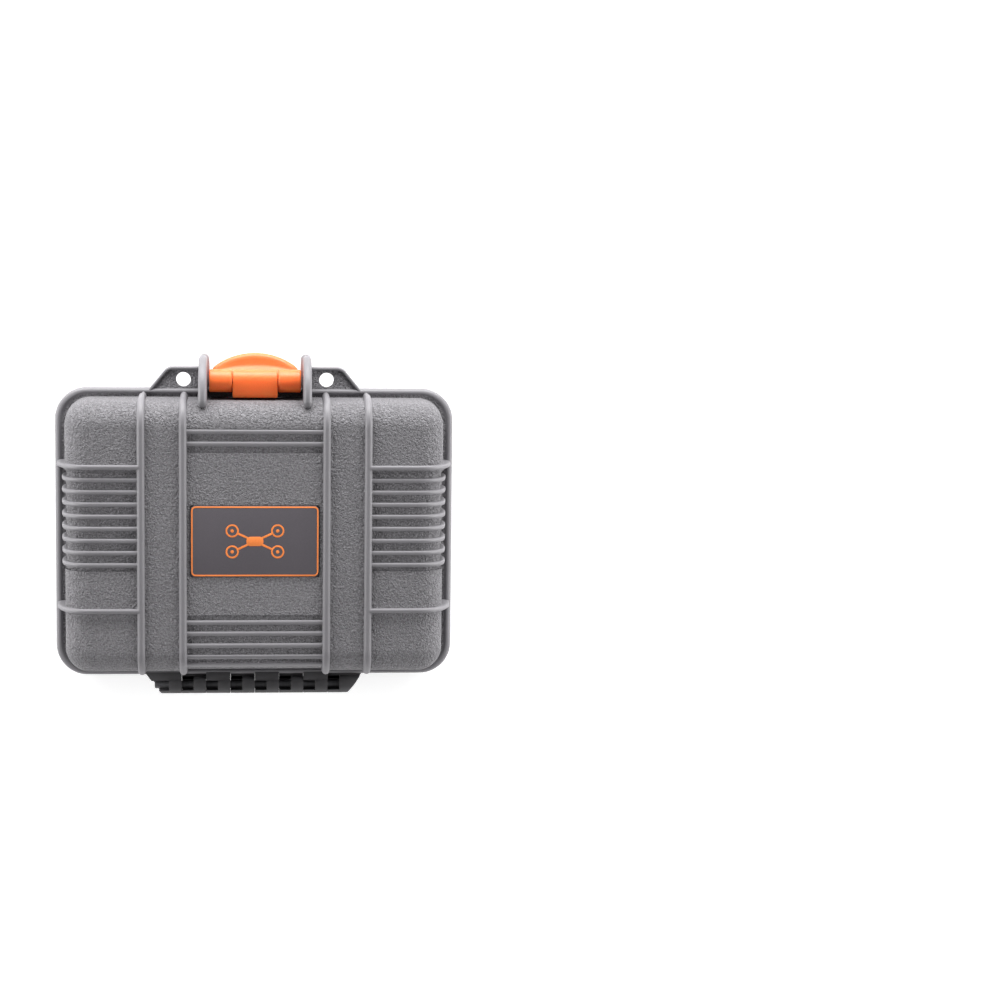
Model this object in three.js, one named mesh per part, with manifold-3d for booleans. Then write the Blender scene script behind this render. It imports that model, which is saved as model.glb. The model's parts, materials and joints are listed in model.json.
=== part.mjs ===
// A small hard carrying case for a folding drone: two moulded shells on a rear hinge, a seal,
// a double-hinged draw latch at the front, padlock ears, a label plate and cut foam inside.
//
// Units are millimetres. +Z is up through the lid, the latch faces -Y and the hinge is at +Y.
// Every piece is drawn about the middle of the parting plane between lid and base, and the outer
// group then lifts the case so that it stands on z = 0 with the middle of its footprint at x = y = 0.
import * as THREE from "three";
import { mergeVertices } from "three/addons/utils/BufferGeometryUtils.js";
import Module from "manifold-3d";

const wasm = await Module();
wasm.setup();

// ---------- driving dimensions ----------
const GAP = 0.3; // running and fitting gap between neighbouring pieces
const BASE_HEIGHT = 46; // standing surface to parting plane
const LID_HEIGHT = 34; // parting plane to top of lid
const FAR = 150; // past the outside of the case on every side, for blocks that only cut

// flange: the rim that both shells carry at the parting plane
const FLANGE = { halfX: 106.75, halfY: 78, radius: 17, thick: 4, edge: 0.9, overlap: 1.5 };

// outer walls above and below the flange, measured at the flange, and how thick they are moulded
const LID_WALL = { halfX: 101.2, halfY: 73.4, radius: 13.8, fillet: 13, draft: 0.8, thick: 3 };
const BASE_WALL = { halfX: 103.2, halfY: 74.9, radius: 14.5, fillet: 11, draft: 0.9, thick: 3.4 };

// lid ribs: broad ones over the lid, fine ones in sunk panels, and a long one past each panel
const RIB = { proud: 2.0, width: 4.1, outerX: 60, innerX: 38 };
const FINE_RIB = { proud: 1.0, centreProud: 0.7, width: 2.7, bottom: 5.5 };
const SIDE_RIBS = { firstY: -31.5, pitch: 6.46, count: 8 };
const LONG_RIB = { proud: 2.2, y: 38.3 };
const CENTRE_RIBS_FRONT = [-57.3, -50.8];
const CENTRE_RIBS_REAR = [44.6, 50.6, 57.0, 63.2];
const CENTRE_RIB_BOTTOM = 20; // the middle ribs stop this high on the lid's rounded edge
const SUNK = { depth: 1.1, bottom: 7, frontY0: -58.8, frontY1: -45.8, rearY: 40.6, margin: 1.6 };

// label, its printed line and its printed sign
const LABEL = { width: 67.7, depth: 37.8, thick: 1.2, radius: 2.6, y: 0.9, pocket: 0.9 };
const PRINT = { inset: 0.7, width: 0.9, thick: 0.2, lift: 0.05 };
const EMBLEM = { armX: 12, armY: 5.6, armWidth: 1, bodyX: 9, bodyY: 5 };
const ROTOR = { radius: 3.4, innerRadius: 2.5, hubRadius: 0.9 };

// padlock ears and the plates that flank the latch
const EAR_HOLE = { x: 38.4, y: -82.6, radius: 4 };
const EAR = { topY: -89.5, topX0: 30.9, topX1: 46.2, footX: 57.1 };
const PLATE = { innerX: 25.5, outerX: 30, frontY: -95.9, frontZ: 8.5, backY: -70, backRun: 6 };
const LID_PLATE = { height: 32.4, topY: -72 };
const BASE_PLATE = { height: 36, topY: -76 };

// latch, in the plane x = 0: the link pin sits in the lid plates, the lever pin in the link
const LINK_PIN = { y: -77.0, z: 7.2, radius: 1.2, knuckleR: 2.7 };
const LEVER_PIN = { y: -82.7, z: 12.5, radius: 1.5 };
const LINK = { halfX: 11.9, innerY: -74 };
const LEVER = { halfX: 24.4, barrelR: 6.1, notchX: 12.2, clawY: -71.3, webY: -78.8 };
const TAB = { tipY: -96.6, endY: -88.4 };
const LATCH_PIN_SHORT = 0.4; // the latch pins end this far inside what they run through

// hinge: knuckles from +X to -X, the lid's first, with windows that show the pin
const HINGE = { y: 84.2, radius: 4.8, pinR: 2.1, firstX: 52.8, pitch: 13.2, count: 8, windowY: 2.6 };
const HINGE_WEB = { flangeX: 4.2, bendX: 3.6, tipX: 0.6 };
const HINGE_PIN_PROUD = 1.5; // the pin shows past the first knuckle

// base: foot pads in two columns of moulded loops
const FOOT = { width: 19.4, depth: 8.2, slotX: 13.8, slotY: 3.0, height: 1.2 };
const FOOT_ROWS = { x: 65.2, y: -1.2, pitch: 10.7, count: 11 };
const SIDE_STEP = { depth: 2, frontY: -46, rearY: 44, run: 3 }; // between the corners the sides step in

// behind the latch: a scallop for the fingers, a pocket for the claw and a thicker wall inside
const SCALLOP = { halfX: 27, frontY: -78, deepY: -67.8 };
const CLAW_POCKET = { halfX: 25.2, deepY: -70.6, bottom: -13 };
const BOSS = { halfX: 30, innerY: -63.6 };

// seal and foam
const SEAL = { inset: 3.6, halfWidth: 0.9, groove: 1.9, height: 2.1, lidGroove: 1.1 };
const FOAM = { floor: 6, clear: 0.6, lidThick: 21, trayTop: -1.2 };
const POCKETS = [
  { x: 0, y: 26, width: 168, depth: 62, radius: 12 },
  { x: -56, y: -36.5, width: 56, depth: 42, radius: 8 },
  { x: 9, y: -36.5, width: 50, depth: 42, radius: 8 },
  { x: 63, y: -36.5, width: 40, depth: 42, radius: 8 },
];

const CORNER_STEPS = 5; // facets in each plan corner
const FILLET_STEPS = 4; // facets over each rounded edge
const ROUND_STEPS = 16; // facets round a full pin or barrel
const SCALLOP_STEPS = 72; // facets round the wide circle of the finger scallop
const RING_STEPS = 12; // facets round the small printed rings

// ---------- solids ----------
function toSolid(geometry) {
  const bare = geometry.index ? geometry.toNonIndexed() : geometry.clone();
  for (const name of Object.keys(bare.attributes)) {
    if (name !== "position") bare.deleteAttribute(name);
  }
  const merged = mergeVertices(bare, 1e-4);
  const mesh = new wasm.Mesh({
    numProp: 3,
    vertProperties: new Float32Array(merged.attributes.position.array),
    triVerts: new Uint32Array(merged.index.array),
  });
  return new wasm.Manifold(mesh);
}

function toGeometry(solid) {
  const mesh = solid.getMesh();
  const geometry = new THREE.BufferGeometry();
  geometry.setAttribute("position", new THREE.BufferAttribute(new Float32Array(mesh.vertProperties), 3));
  geometry.setIndex(new THREE.BufferAttribute(new Uint32Array(mesh.triVerts), 1));
  geometry.computeVertexNormals();
  return geometry;
}

const join = (solids) => solids.reduce((a, b) => a.add(b));
const cut = (solid, tools) => tools.reduce((a, b) => a.subtract(b), solid);

// points of a rectangle with round corners, anticlockwise, always the same number of points
function roundedRing(halfX, halfY, radius, z) {
  const r = Math.max(radius, 0.4);
  const ring = [];
  for (const [sx, sy, start] of [[1, 1, 0], [-1, 1, 90], [-1, -1, 180], [1, -1, 270]]) {
    for (let i = 0; i <= CORNER_STEPS; i += 1) {
      const angle = THREE.MathUtils.degToRad(start + (90 * i) / CORNER_STEPS);
      const x = sx * (halfX - r) + r * Math.cos(angle);
      const y = sy * (halfY - r) + r * Math.sin(angle);
      ring.push(new THREE.Vector3(x, y, z));
    }
  }
  return ring;
}

// a closed solid through a stack of convex rings, lowest first
function loft(rings) {
  const count = rings[0].length;
  const points = rings.flat();
  const index = [];
  for (let k = 0; k < rings.length - 1; k += 1) {
    for (let i = 0; i < count; i += 1) {
      const a = k * count + i;
      const b = k * count + ((i + 1) % count);
      index.push(a, b, b + count, a, b + count, a + count);
    }
  }
  const top = (rings.length - 1) * count;
  for (let i = 1; i < count - 1; i += 1) {
    index.push(0, i + 1, i);
    index.push(top, top + i, top + i + 1);
  }
  const geometry = new THREE.BufferGeometry().setFromPoints(points);
  geometry.setIndex(index);
  return toSolid(geometry);
}

function extrude(shape, depth) {
  return new THREE.ExtrudeGeometry(shape, { depth, bevelEnabled: false, curveSegments: ROUND_STEPS / 2 });
}

// prisms of an outline: drawn in YZ and run along X, or drawn in XY and run up Z
function prismX(shape, x0, x1) {
  const geometry = extrude(shape, x1 - x0);
  const turn = new THREE.Matrix4().makeBasis(
    new THREE.Vector3(0, 1, 0),
    new THREE.Vector3(0, 0, 1),
    new THREE.Vector3(1, 0, 0),
  );
  return toSolid(geometry.applyMatrix4(turn).translate(x0, 0, 0));
}

function prismZ(shape, z0, z1) {
  return toSolid(extrude(shape, z1 - z0).translate(0, 0, z0));
}

function box(x0, x1, y0, y1, z0, z1) {
  const geometry = new THREE.BoxGeometry(x1 - x0, y1 - y0, z1 - z0);
  return toSolid(geometry.translate((x0 + x1) / 2, (y0 + y1) / 2, (z0 + z1) / 2));
}

function rodX(y, z, radius, x0, x1) {
  const geometry = new THREE.CylinderGeometry(radius, radius, x1 - x0, ROUND_STEPS);
  return toSolid(geometry.rotateZ(Math.PI / 2).translate((x0 + x1) / 2, y, z));
}

function polygon(points) {
  return new THREE.Shape(points.map(([a, b]) => new THREE.Vector2(a, b)));
}

function roundedShape(width, depth, radius, x = 0, y = 0) {
  const ring = roundedRing(width / 2, depth / 2, radius, 0);
  return new THREE.Shape(ring.map((p) => new THREE.Vector2(p.x + x, p.y + y)));
}

// points round a circle, for round holes and outlines
function circlePoints(x, y, radius, steps = ROUND_STEPS) {
  return Array.from({ length: steps }, (_, i) => {
    const angle = (2 * Math.PI * i) / steps;
    return new THREE.Vector2(x + radius * Math.cos(angle), y + radius * Math.sin(angle));
  });
}

const bothSides = (solid) => join([solid, solid.mirror([1, 0, 0])]);

// the height span of a flat piece on one shell's side of the parting plane
const span = (up, thick) => (up > 0 ? [GAP / 2, thick] : [-thick, -GAP / 2]);

// the outside of one shell, moved in by `inset`: straight drafted walls, then a rounded edge.
// up is 1 for the lid and -1 for the base, and `start` is where the walls begin
function bowl(wall, height, up, inset, start = 0) {
  const fillet = Math.max(wall.fillet - inset, 1);
  const shoulder = height - inset - fillet;
  const rings = [];
  const ringAt = (shrink, z) => {
    const by = inset + shrink;
    return roundedRing(wall.halfX - by, wall.halfY - by, wall.radius - by, up * z);
  };
  rings.push(ringAt(0, start));
  for (let i = 0; i <= FILLET_STEPS; i += 1) {
    const angle = (Math.PI / 2) * (i / FILLET_STEPS);
    rings.push(ringAt(wall.draft + fillet * (1 - Math.cos(angle)), shoulder + fillet * Math.sin(angle)));
  }
  if (up < 0) rings.reverse();
  return loft(rings);
}

function flange(up) {
  const { halfX, halfY, radius, thick, edge } = FLANGE;
  const rings = [
    roundedRing(halfX, halfY, radius, up * (GAP / 2)),
    roundedRing(halfX, halfY, radius, up * (thick - edge)),
    roundedRing(halfX - edge, halfY - edge, radius - edge, up * thick),
  ];
  if (up < 0) rings.reverse();
  return loft(rings);
}

// padlock ears: one pair on each shell, meeting at the parting plane
function ears(up) {
  const insideFlange = -FLANGE.halfY + 3;
  const outline = polygon([
    [PLATE.outerX - 1, insideFlange],
    [PLATE.outerX - 1, EAR.topY + 1],
    [EAR.topX0, EAR.topY],
    [EAR.topX1, EAR.topY],
    [EAR.topX1 + 2, EAR.topY + 1.4],
    [EAR.footX, -FLANGE.halfY + 0.4],
    [EAR.footX, insideFlange],
  ]);
  outline.holes.push(new THREE.Path(circlePoints(EAR_HOLE.x, EAR_HOLE.y, EAR_HOLE.radius).reverse()));
  return bothSides(prismZ(outline, ...span(up, FLANGE.thick)));
}

// plates that flank the latch: upright at the front, then a slope that runs into the shell
function plates(up, { height, topY }) {
  const { innerX, outerX, frontY, frontZ, backY, backRun } = PLATE;
  const shape = new THREE.Shape();
  shape.moveTo(backY, up * (GAP / 2));
  shape.lineTo(frontY, up * (GAP / 2));
  shape.lineTo(frontY, up * frontZ);
  shape.quadraticCurveTo(frontY, up * (frontZ + 3.5), frontY + 3, up * (frontZ + 6.5));
  shape.lineTo(topY, up * height);
  shape.lineTo(topY + backRun, up * height);
  return bothSides(prismX(shape, innerX, outerX));
}

// ---------- hinge ----------
// Each knuckle covers the pin from above over one half of its width and from below over the other.
function knuckles(up) {
  const solids = [];
  for (let i = 0; i < HINGE.count; i += 1) {
    const belongsToLid = i % 2 === 0;
    if (belongsToLid !== (up > 0)) continue;
    const high = HINGE.firstX - HINGE.pitch * i - GAP / 2;
    const low = high - HINGE.pitch + GAP;
    const middle = (high + low) / 2;
    const barrel = rodX(HINGE.y, 0, HINGE.radius, low, high);
    const leaf = box(low, high, FLANGE.halfY - FLANGE.overlap, HINGE.y, ...span(up, FLANGE.thick));
    const window = [HINGE.y - HINGE.windowY, HINGE.y + HINGE.windowY];
    solids.push(
      cut(join([barrel, leaf]), [
        rodX(HINGE.y, 0, HINGE.pinR + GAP, low - 1, high + 1),
        box(middle + GAP, high + 1, ...window, 0, HINGE.radius + 1),
        box(low - 1, middle - GAP, ...window, -HINGE.radius - 1, 0),
      ]),
    );
  }
  return join(solids);
}

// sloping webs at both ends of the hinge
function hingeWebs(up) {
  const end = HINGE.firstX + GAP;
  const inside = FLANGE.halfY - FLANGE.overlap;
  const front = HINGE.y - HINGE.radius - 0.1;
  const outline = polygon([
    [end - 2, inside],
    [end + HINGE_WEB.flangeX, inside],
    [end + HINGE_WEB.bendX, FLANGE.halfY + 0.5],
    [end + HINGE_WEB.tipX, front],
    [end - 2, front],
  ]);
  return bothSides(prismZ(outline, ...span(up, FLANGE.thick)));
}

// ---------- lid ----------
const lidOutside = (proud) => bowl(LID_WALL, LID_HEIGHT, 1, -proud);

function sunkPanel(x0, x1, y0, y1) {
  const skin = lidOutside(0.5).subtract(lidOutside(-SUNK.depth));
  return skin.intersect(box(x0, x1, y0, y1, SUNK.bottom, FAR));
}

// a rib follows the lid's outside, `proud` above it, inside a block
const rib = (proud, ...block) => lidOutside(proud).intersect(box(...block));

function lidRibs() {
  const half = FINE_RIB.width / 2;
  const ribs = [];
  for (const x of [RIB.innerX, RIB.outerX]) {
    ribs.push(bothSides(rib(RIB.proud, x - RIB.width / 2, x + RIB.width / 2, -FAR, FAR, GAP / 2, FAR)));
  }
  for (const y of [-LONG_RIB.y, LONG_RIB.y]) {
    ribs.push(bothSides(rib(LONG_RIB.proud, RIB.outerX, FAR, y - half, y + half, GAP / 2, FAR)));
  }
  for (let i = 0; i < SIDE_RIBS.count; i += 1) {
    const y = SIDE_RIBS.firstY + SIDE_RIBS.pitch * i;
    ribs.push(bothSides(rib(FINE_RIB.proud, RIB.outerX, FAR, y - half, y + half, FINE_RIB.bottom, FAR)));
  }
  for (const y of [...CENTRE_RIBS_FRONT, ...CENTRE_RIBS_REAR]) {
    const acrossX = [-RIB.innerX, RIB.innerX];
    ribs.push(rib(FINE_RIB.centreProud, ...acrossX, y - half, y + half, CENTRE_RIB_BOTTOM, FAR));
  }
  return ribs;
}

function lidShell() {
  const lastY = SIDE_RIBS.firstY + SIDE_RIBS.pitch * (SIDE_RIBS.count - 1);
  const sideRearY = lastY + FINE_RIB.width / 2 + SUNK.margin;
  const innerEdge = RIB.innerX - RIB.width / 2;
  const outerEdge = RIB.outerX + RIB.width / 2;
  const body = join([flange(1), bowl(LID_WALL, LID_HEIGHT, 1, 0, GAP / 2), ears(1)]);
  const sunk = cut(body, [
    bothSides(sunkPanel(outerEdge - 1, FAR, -LONG_RIB.y, sideRearY)),
    sunkPanel(-innerEdge, innerEdge, SUNK.frontY0, SUNK.frontY1),
    sunkPanel(-innerEdge, innerEdge, SUNK.rearY, FAR),
  ]);
  const shell = join([sunk, ...lidRibs(), plates(1, LID_PLATE), knuckles(1), hingeWebs(1)]);

  const labelPocket = prismZ(
    roundedShape(LABEL.width + 2 * GAP, LABEL.depth + 2 * GAP, LABEL.radius, 0, LABEL.y),
    LID_HEIGHT - LABEL.pocket,
    FAR,
  );
  const pinHole = pinHoleX(LINK_PIN, PLATE.innerX - 1, PLATE.outerX + 1);
  return cut(shell, [
    bowl(LID_WALL, LID_HEIGHT, 1, LID_WALL.thick, -1),
    labelPocket,
    bothSides(pinHole),
    sealRing(SEAL.halfWidth + GAP, -1, SEAL.lidGroove),
  ]);
}

// ---------- seal ----------
// a ring that runs round inside the flange's outline
function sealRing(halfWidth, z0, z1) {
  const disc = (offset, low, high) => {
    const by = SEAL.inset + offset;
    const at = (z) => roundedRing(FLANGE.halfX - by, FLANGE.halfY - by, FLANGE.radius - by, z);
    return loft([at(low), at(high)]);
  };
  return disc(-halfWidth, z0, z1).subtract(disc(halfWidth, z0 - 1, z1 + 1));
}

function seal() {
  const bottom = GAP / 2 - SEAL.groove;
  return sealRing(SEAL.halfWidth, bottom, bottom + SEAL.height);
}

// ---------- base ----------
const BOWL_HEIGHT = BASE_HEIGHT - FOOT.height; // parting plane to the underside between the feet

function footPads() {
  const top = -BOWL_HEIGHT;
  const rectangle = (x, y, z0, z1) => box(-x / 2, x / 2, -y / 2, y / 2, z0, z1);
  const loop = rectangle(FOOT.width, FOOT.depth, -BASE_HEIGHT, top + 0.5);
  const pad = loop.subtract(rectangle(FOOT.slotX, FOOT.slotY, -BASE_HEIGHT - 1, top));
  const pads = [];
  const { x, pitch, count } = FOOT_ROWS;
  for (let i = 0; i < count; i += 1) {
    const y = FOOT_ROWS.y + pitch * (i - (count - 1) / 2);
    pads.push(pad.translate([x, y, 0]), pad.translate([-x, y, 0]));
  }
  return join(pads);
}

function fingerScallop() {
  const rise = SCALLOP.deepY - SCALLOP.frontY;
  const radius = (SCALLOP.halfX ** 2 + rise ** 2) / (2 * rise);
  const shape = new THREE.Shape(circlePoints(0, SCALLOP.deepY - radius, radius, SCALLOP_STEPS));
  const between = box(-PLATE.innerX, PLATE.innerX, -FAR, 0, -FAR, -FLANGE.thick - 1);
  return prismZ(shape, -FAR, 0).intersect(between);
}

// what is taken off one side wall between the corners
function sideStep(side) {
  const outer = side * (BASE_WALL.halfX + SIDE_STEP.run);
  const deep = side * (BASE_WALL.halfX - SIDE_STEP.depth);
  const { frontY, rearY, run } = SIDE_STEP;
  const outline = polygon([[outer, frontY - run], [deep, frontY], [deep, rearY], [outer, rearY + run]]);
  return prismZ(outline, -BASE_HEIGHT, -FLANGE.thick - 0.01);
}

function baseShell() {
  const body = cut(bowl(BASE_WALL, BOWL_HEIGHT, -1, 0, GAP / 2), [sideStep(1), sideStep(-1)]);
  const shell = join([
    flange(-1),
    body,
    ears(-1),
    plates(-1, BASE_PLATE),
    knuckles(-1),
    hingeWebs(-1),
    footPads(),
  ]);
  const cavity = bowl(BASE_WALL, BOWL_HEIGHT, -1, BASE_WALL.thick, -1);
  const boss = box(-BOSS.halfX, BOSS.halfX, -BASE_WALL.halfY + 1, BOSS.innerY, -BOWL_HEIGHT + 2, -GAP / 2);
  const { halfX, deepY, bottom } = CLAW_POCKET;
  return cut(shell, [
    cavity.subtract(boss),
    sealRing(SEAL.halfWidth + GAP, -GAP / 2 - SEAL.groove, 1),
    box(-halfX, halfX, -FAR, deepY, bottom, -FLANGE.thick),
    fingerScallop(),
  ]);
}

// ---------- latch ----------
function pinHoleX(pin, x0, x1) {
  return rodX(pin.y, pin.z, pin.radius + GAP, x0, x1);
}

// the link: round over the lever pin, flat on top as far as the lid, and hung on the link pin
function latchLink() {
  const { halfX, innerY } = LINK;
  const top = LEVER_PIN.z + LEVER.barrelR;
  const block = polygon([
    [LEVER_PIN.y, top],
    [LEVER_PIN.y, LEVER_PIN.z - 4],
    [LINK_PIN.y - 1, LINK_PIN.z - 2.4],
    [innerY, LINK_PIN.z],
    [innerY, top - 0.8],
    [innerY - 0.8, top],
  ]);
  const body = join([
    rodX(LEVER_PIN.y, LEVER_PIN.z, LEVER.barrelR, -halfX, halfX),
    rodX(LINK_PIN.y, LINK_PIN.z, LINK_PIN.knuckleR, -halfX, halfX),
    prismX(block, -halfX, halfX),
  ]);
  return cut(
    body,
    [LEVER_PIN, LINK_PIN].map((pin) => pinHoleX(pin, -halfX - 1, halfX + 1)),
  );
}

// the arch of the pull tab in plan: a wide arc through the tip and both ends
function archPlan() {
  const { halfX } = LEVER;
  const { tipY, endY } = TAB;
  const rise = endY - tipY;
  const radius = (halfX ** 2 + rise ** 2) / (2 * rise);
  const reach = Math.asin(halfX / radius);
  const plan = new THREE.Shape();
  plan.moveTo(halfX, 0);
  plan.lineTo(halfX, endY);
  plan.absarc(0, tipY + radius, radius, -Math.PI / 2 + reach, -Math.PI / 2 - reach, true);
  plan.lineTo(-halfX, 0);
  return plan;
}

// the lever: two barrels on the pin, a web down past the flanges, an arched pull tab and a claw
function latchLever() {
  const { halfX, barrelR, notchX, clawY, webY } = LEVER;
  const { tipY } = TAB;
  const clawZ = -FLANGE.thick - 0.5;
  const web = polygon([
    [LEVER_PIN.y - barrelR, LEVER_PIN.z],
    [-93.5, 1.5],
    [tipY, -3.4],
    [tipY, -8.6],
    [tipY + 2.4, -8.6],
    [tipY + 3.2, -5.2],
    [-84, -9.4],
    [clawY, -8.4],
    [clawY, clawZ],
    [webY, clawZ],
    [webY, LEVER_PIN.z - 3],
  ]);
  const arched = prismX(web, -halfX, halfX).intersect(prismZ(archPlan(), -FAR, FAR));
  const barrel = rodX(LEVER_PIN.y, LEVER_PIN.z, barrelR, -halfX, halfX);
  const notch = box(-notchX, notchX, -FAR, 0, FLANGE.thick, FAR);
  return cut(join([arched, barrel]), [notch, pinHoleX(LEVER_PIN, -halfX - 1, halfX + 1)]);
}

// ---------- foam ----------
const FOAM_FLOOR_TOP = -BOWL_HEIGHT + BASE_WALL.thick + FOAM.floor + FOAM.clear;

// a slab that fills the base's cavity between two heights, clear of the thicker wall behind the latch
function baseFoamBlock(z0, z1) {
  const inside = bowl(BASE_WALL, BOWL_HEIGHT, -1, BASE_WALL.thick + FOAM.clear, -1);
  const slab = inside.intersect(box(-FAR, FAR, -FAR, FAR, z0, z1));
  return slab.subtract(box(-BOSS.halfX - 1, BOSS.halfX + 1, -FAR, BOSS.innerY + 0.7, -FAR, FAR));
}

function baseFoamFloor() {
  return baseFoamBlock(-BASE_HEIGHT, FOAM_FLOOR_TOP);
}

function baseFoamTray() {
  const tools = POCKETS.map(({ x, y, width, depth, radius }) =>
    prismZ(roundedShape(width, depth, radius, x, y), FOAM_FLOOR_TOP - 1, 1),
  );
  return cut(baseFoamBlock(FOAM_FLOOR_TOP + GAP, FOAM.trayTop), tools);
}

function lidFoam() {
  const inside = bowl(LID_WALL, LID_HEIGHT, 1, LID_WALL.thick + FOAM.clear, -1);
  const top = LID_HEIGHT - LID_WALL.thick;
  return inside.intersect(box(-FAR, FAR, -FAR, FAR, top - FOAM.lidThick, FAR));
}

// ---------- label ----------
const LABEL_BOTTOM = LID_HEIGHT - LABEL.pocket + GAP;
const PRINT_BOTTOM = LABEL_BOTTOM + LABEL.thick + PRINT.lift;
const PRINT_TOP = PRINT_BOTTOM + PRINT.thick;

const labelOutline = (inset) =>
  roundedShape(LABEL.width - 2 * inset, LABEL.depth - 2 * inset, LABEL.radius - 0.4 - inset / 2, 0, LABEL.y);

const labelPlate = () => prismZ(labelOutline(0), LABEL_BOTTOM, LABEL_BOTTOM + LABEL.thick);

// a printed line, raised a hair above the plate, near its edge
function labelBorder() {
  const outer = prismZ(labelOutline(PRINT.inset), PRINT_BOTTOM, PRINT_TOP);
  return outer.subtract(prismZ(labelOutline(PRINT.inset + PRINT.width), PRINT_BOTTOM - 1, PRINT_TOP + 1));
}

// a plain quadcopter sign: four rotor rings on crossed arms round a body
function labelEmblem() {
  const { armX, armY, armWidth, bodyX, bodyY } = EMBLEM;
  const solids = [prismZ(roundedShape(bodyX, bodyY, 2, 0, LABEL.y), PRINT_BOTTOM, PRINT_TOP)];
  for (const sx of [1, -1]) {
    for (const sy of [1, -1]) {
      const tip = [sx * armX, LABEL.y + sy * armY];
      const disc = (radius, more = 0) => {
        const circle = new THREE.Shape(circlePoints(...tip, radius, RING_STEPS));
        return prismZ(circle, PRINT_BOTTOM - more, PRINT_TOP + more);
      };
      solids.push(disc(ROTOR.radius).subtract(disc(ROTOR.innerRadius, 1)));
      solids.push(disc(ROTOR.hubRadius));
      const arm = new THREE.BoxGeometry(Math.hypot(armX, armY), armWidth, PRINT.thick);
      arm.rotateZ(Math.atan2(sy * armY, sx * armX));
      arm.translate(tip[0] / 2, LABEL.y + (sy * armY) / 2, (PRINT_BOTTOM + PRINT_TOP) / 2);
      solids.push(toSolid(arm));
    }
  }
  return join(solids);
}

// ---------- assembly ----------
const finish = {
  shell: { color: 0x6f6e73, roughness: 0.62, metalness: 0 },
  latch: { color: 0xff6a2b, roughness: 0.45, metalness: 0 },
  steel: { color: 0x555558, roughness: 0.4, metalness: 0.6 },
  seal: { color: 0x1b1b1d, roughness: 0.8, metalness: 0 },
  foam: { color: 0x262628, roughness: 0.95, metalness: 0 },
  label: { color: 0x58545a, roughness: 0.5, metalness: 0 },
  print: { color: 0xf07a2e, roughness: 0.5, metalness: 0 },
};

function piece(name, solid, look) {
  const mesh = new THREE.Mesh(toGeometry(solid), new THREE.MeshStandardMaterial(finish[look]));
  mesh.name = name;
  return mesh;
}

const hingePin = rodX(HINGE.y, 0, HINGE.pinR, -HINGE.firstX + GAP, HINGE.firstX + HINGE_PIN_PROUD);
function latchPin({ y, z, radius }, reach) {
  const half = reach - LATCH_PIN_SHORT;
  return rodX(y, z, radius, -half, half);
}

const base = new THREE.Group();
base.add(
  piece("base_shell", baseShell(), "shell"),
  piece("seal_ring", seal(), "seal"),
  piece("hinge_pin", hingePin, "steel"),
  piece("base_foam_floor", baseFoamFloor(), "foam"),
  piece("base_foam_tray", baseFoamTray(), "foam"),
);

const lid = new THREE.Group();
lid.add(
  piece("lid_shell", lidShell(), "shell"),
  piece("lid_foam", lidFoam(), "foam"),
  piece("label_plate", labelPlate(), "label"),
  piece("label_border", labelBorder(), "print"),
  piece("label_emblem", labelEmblem(), "print"),
  piece("link_pin", latchPin(LINK_PIN, PLATE.outerX), "steel"),
);

const latch = new THREE.Group();
latch.add(
  piece("latch_link", latchLink(), "latch"),
  piece("latch_lever", latchLever(), "latch"),
  piece("lever_pin", latchPin(LEVER_PIN, LEVER.halfX), "steel"),
);

const carryingCase = new THREE.Group();
carryingCase.add(base, lid, latch);
const rearY = HINGE.y + HINGE.radius;
carryingCase.position.set(0, -(TAB.tipY + rearY) / 2, BASE_HEIGHT);

const part = new THREE.Group();
part.add(carryingCase);

export default part;
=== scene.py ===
"""Looks for the drone carrying case: fine moulded shells, latch, label, seal, foam and pins.

Every piece is drawn in millimetres about the middle of the parting plane between lid and base,
with +Z up through the lid and -Y towards the latch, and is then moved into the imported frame.
"""
import json
import math
from types import SimpleNamespace as Sizes

import bmesh
import bpy
from mathutils import Matrix, Vector


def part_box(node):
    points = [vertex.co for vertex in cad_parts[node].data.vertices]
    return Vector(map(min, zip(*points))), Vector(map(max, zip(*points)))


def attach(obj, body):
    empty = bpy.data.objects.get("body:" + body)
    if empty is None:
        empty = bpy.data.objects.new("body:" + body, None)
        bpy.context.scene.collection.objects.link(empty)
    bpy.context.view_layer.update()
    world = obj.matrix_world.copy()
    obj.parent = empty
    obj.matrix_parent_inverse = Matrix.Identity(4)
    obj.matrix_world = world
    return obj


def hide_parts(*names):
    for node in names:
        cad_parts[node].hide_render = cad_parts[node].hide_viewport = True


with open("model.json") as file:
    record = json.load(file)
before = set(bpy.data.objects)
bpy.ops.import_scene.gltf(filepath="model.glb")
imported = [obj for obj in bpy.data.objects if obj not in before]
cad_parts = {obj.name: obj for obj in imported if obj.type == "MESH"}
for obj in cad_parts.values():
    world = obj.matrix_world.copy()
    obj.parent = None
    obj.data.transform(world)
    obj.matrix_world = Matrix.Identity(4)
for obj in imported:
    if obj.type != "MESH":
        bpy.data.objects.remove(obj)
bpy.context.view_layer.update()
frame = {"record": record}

# ---------- the frame ----------
MM = 0.001
HINGE_Y = 84.2  # hinge axis behind the middle of the flange
JOINTS = {joint["name"]: joint for joint in frame["record"]["behaviour"]["joints"]}
_, hinge_y_m, PARTING_Z = JOINTS["lid_hinge"]["pos_m"]
CENTRE_Y = hinge_y_m - HINGE_Y * MM
BASE_LOW, BASE_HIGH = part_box("base_shell")
STANDING_Z = BASE_LOW.z


def local(point_m):
    """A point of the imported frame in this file's millimetres."""
    x, y, z = point_m
    return Vector((x / MM, (y - CENTRE_Y) / MM, (z - PARTING_Z) / MM))


def local_box(node):
    return [local(corner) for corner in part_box(node)]


LEVER_AXIS = local(JOINTS["lever_swing"]["pos_m"])
LINK_AXIS = local(JOINTS["link_swing"]["pos_m"])
BASE_HEIGHT = -local((0, 0, STANDING_Z)).z

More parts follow.
